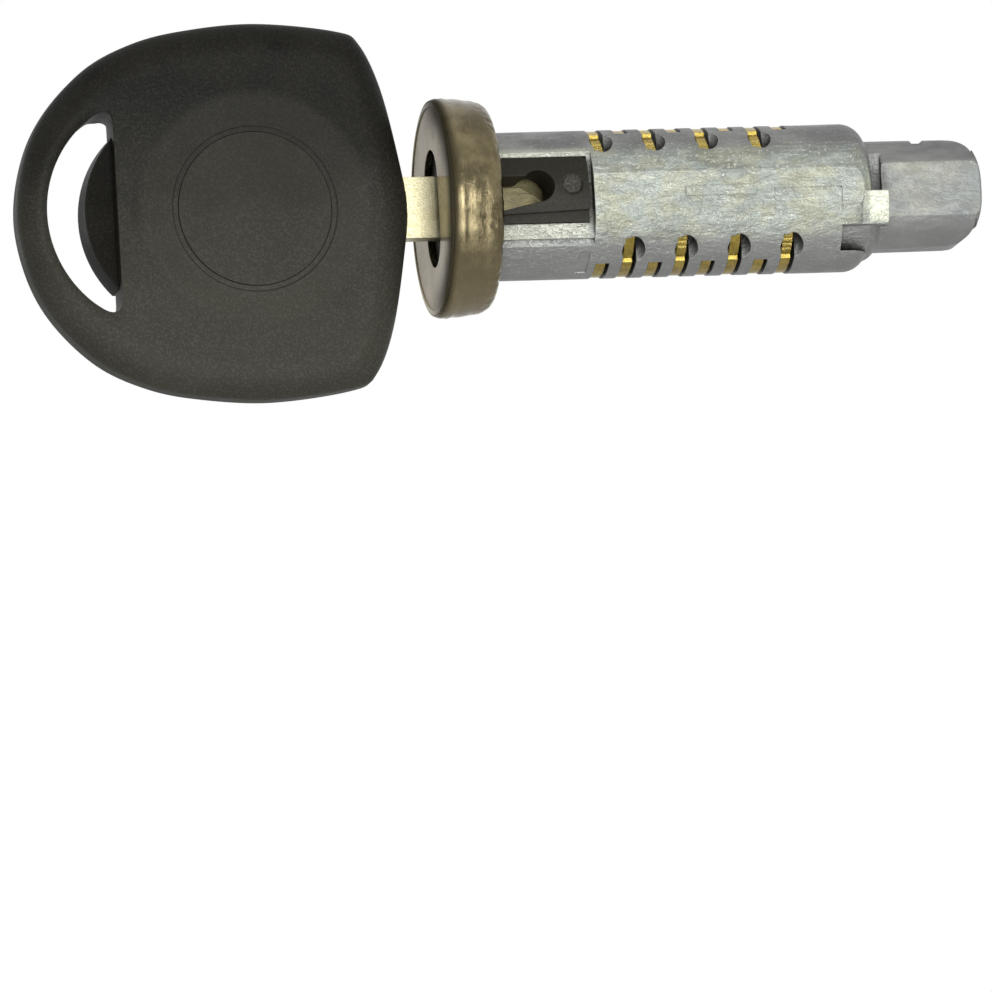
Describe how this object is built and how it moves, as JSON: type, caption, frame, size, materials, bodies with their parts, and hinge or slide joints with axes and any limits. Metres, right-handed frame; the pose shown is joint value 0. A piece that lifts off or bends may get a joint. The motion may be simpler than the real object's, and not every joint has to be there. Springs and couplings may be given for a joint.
{
  "type": "ignition lock cylinder",
  "caption": "Ignition lock plug with side-facing wafers, front collar, black side insert and square drive tail, with its key inserted in the keyway",
  "frame": {"origin": "on the plug's axis, in the plane of the collar's back face, where the plug seats in its housing", "axes": "+X along the plug from the key to the drive tail, +Z the way the odd wafers travel, -Y the side with the wafers' ears"},
  "size_m": [0.0985, 0.0222, 0.0384],
  "materials": {
    "zinc": "as-cast zinc, dull",
    "plated_steel": "worn nickel plating",
    "insert_plastic": "moulded, slight sheen",
    "spring_steel": "bright",
    "wafer_brass": "stamped",
    "nickel_silver": "worn, fine grain",
    "head_plastic": "fine spark-eroded grain",
    "carrier_plastic": "moulded",
    "chip_resin": "cast resin"
  },
  "bodies": {
    "lock": {"plug": "zinc", "face_plate": "plated_steel", "collar_ring": "plated_steel", "shutter_carrier": "insert_plastic", "shutter_pin": "spring_steel", "wafer_spring_1": "spring_steel", "wafer_spring_2": "spring_steel", "wafer_spring_3": "spring_steel", "wafer_spring_4": "spring_steel", "wafer_spring_5": "spring_steel", "wafer_spring_6": "spring_steel", "wafer_spring_7": "spring_steel", "wafer_spring_8": "spring_steel"},
    "key": {"key_blade": "nickel_silver", "key_head": "head_plastic", "transponder_carrier": "carrier_plastic", "transponder": "chip_resin", "head_inlay_front": "head_plastic", "head_inlay_back": "head_plastic"},
    "wafer_1": {"wafer_1": "wafer_brass"},
    "wafer_2": {"wafer_2": "wafer_brass"},
    "wafer_3": {"wafer_3": "wafer_brass"},
    "wafer_4": {"wafer_4": "wafer_brass"},
    "wafer_5": {"wafer_5": "wafer_brass"},
    "wafer_6": {"wafer_6": "wafer_brass"},
    "wafer_7": {"wafer_7": "wafer_brass"},
    "wafer_8": {"wafer_8": "wafer_brass"},
    "shutter": {"shutter_flap": "spring_steel", "shutter_spring": "spring_steel"}
  },
  "joints": [
    {"name": "key_slide", "type": "slide", "parent": "lock", "child": "key", "axis": [-1, 0, 0], "range_m": [0, 0.046]},
    {"name": "wafer_1_slide", "type": "slide", "parent": "lock", "child": "wafer_1", "axis": [0, 0, 1], "range_m": [0, 0.0007], "deforming": ["wafer_spring_1"]},
    {"name": "wafer_2_slide", "type": "slide", "parent": "lock", "child": "wafer_2", "axis": [0, 0, -1], "range_m": [0, 0.0007], "deforming": ["wafer_spring_2"]},
    {"name": "wafer_3_slide", "type": "slide", "parent": "lock", "child": "wafer_3", "axis": [0, 0, 1], "range_m": [0, 0.0007], "deforming": ["wafer_spring_3"]},
    {"name": "wafer_4_slide", "type": "slide", "parent": "lock", "child": "wafer_4", "axis": [0, 0, -1], "range_m": [0, 0.0007], "deforming": ["wafer_spring_4"]},
    {"name": "wafer_5_slide", "type": "slide", "parent": "lock", "child": "wafer_5", "axis": [0, 0, 1], "range_m": [0, 0.0007], "deforming": ["wafer_spring_5"]},
    {"name": "wafer_6_slide", "type": "slide", "parent": "lock", "child": "wafer_6", "axis": [0, 0, -1], "range_m": [0, 0.0007], "deforming": ["wafer_spring_6"]},
    {"name": "wafer_7_slide", "type": "slide", "parent": "lock", "child": "wafer_7", "axis": [0, 0, 1], "range_m": [0, 0.0007], "deforming": ["wafer_spring_7"]},
    {"name": "wafer_8_slide", "type": "slide", "parent": "lock", "child": "wafer_8", "axis": [0, 0, -1], "range_m": [0, 0.0007], "deforming": ["wafer_spring_8"]},
    {"name": "shutter_pivot", "type": "hinge", "parent": "lock", "child": "shutter", "pos_m": [-0.0024, 0.00261, 0], "axis": [0, 0, 1], "range_deg": [0, 20], "stiffness_Nm_per_rad": 0.000008, "springref_deg": -60.16}
  ],
  "couplings": [
    {"joint": "wafer_1_slide", "follows": "key_slide", "ratio": 0.0152},
    {"joint": "wafer_2_slide", "follows": "key_slide", "ratio": 0.0152},
    {"joint": "wafer_3_slide", "follows": "key_slide", "ratio": 0.0152},
    {"joint": "wafer_4_slide", "follows": "key_slide", "ratio": 0.0152},
    {"joint": "wafer_5_slide", "follows": "key_slide", "ratio": 0.0152},
    {"joint": "wafer_6_slide", "follows": "key_slide", "ratio": 0.0152},
    {"joint": "wafer_7_slide", "follows": "key_slide", "ratio": 0.0152},
    {"joint": "wafer_8_slide", "follows": "key_slide", "ratio": 0.0152}
  ]
}
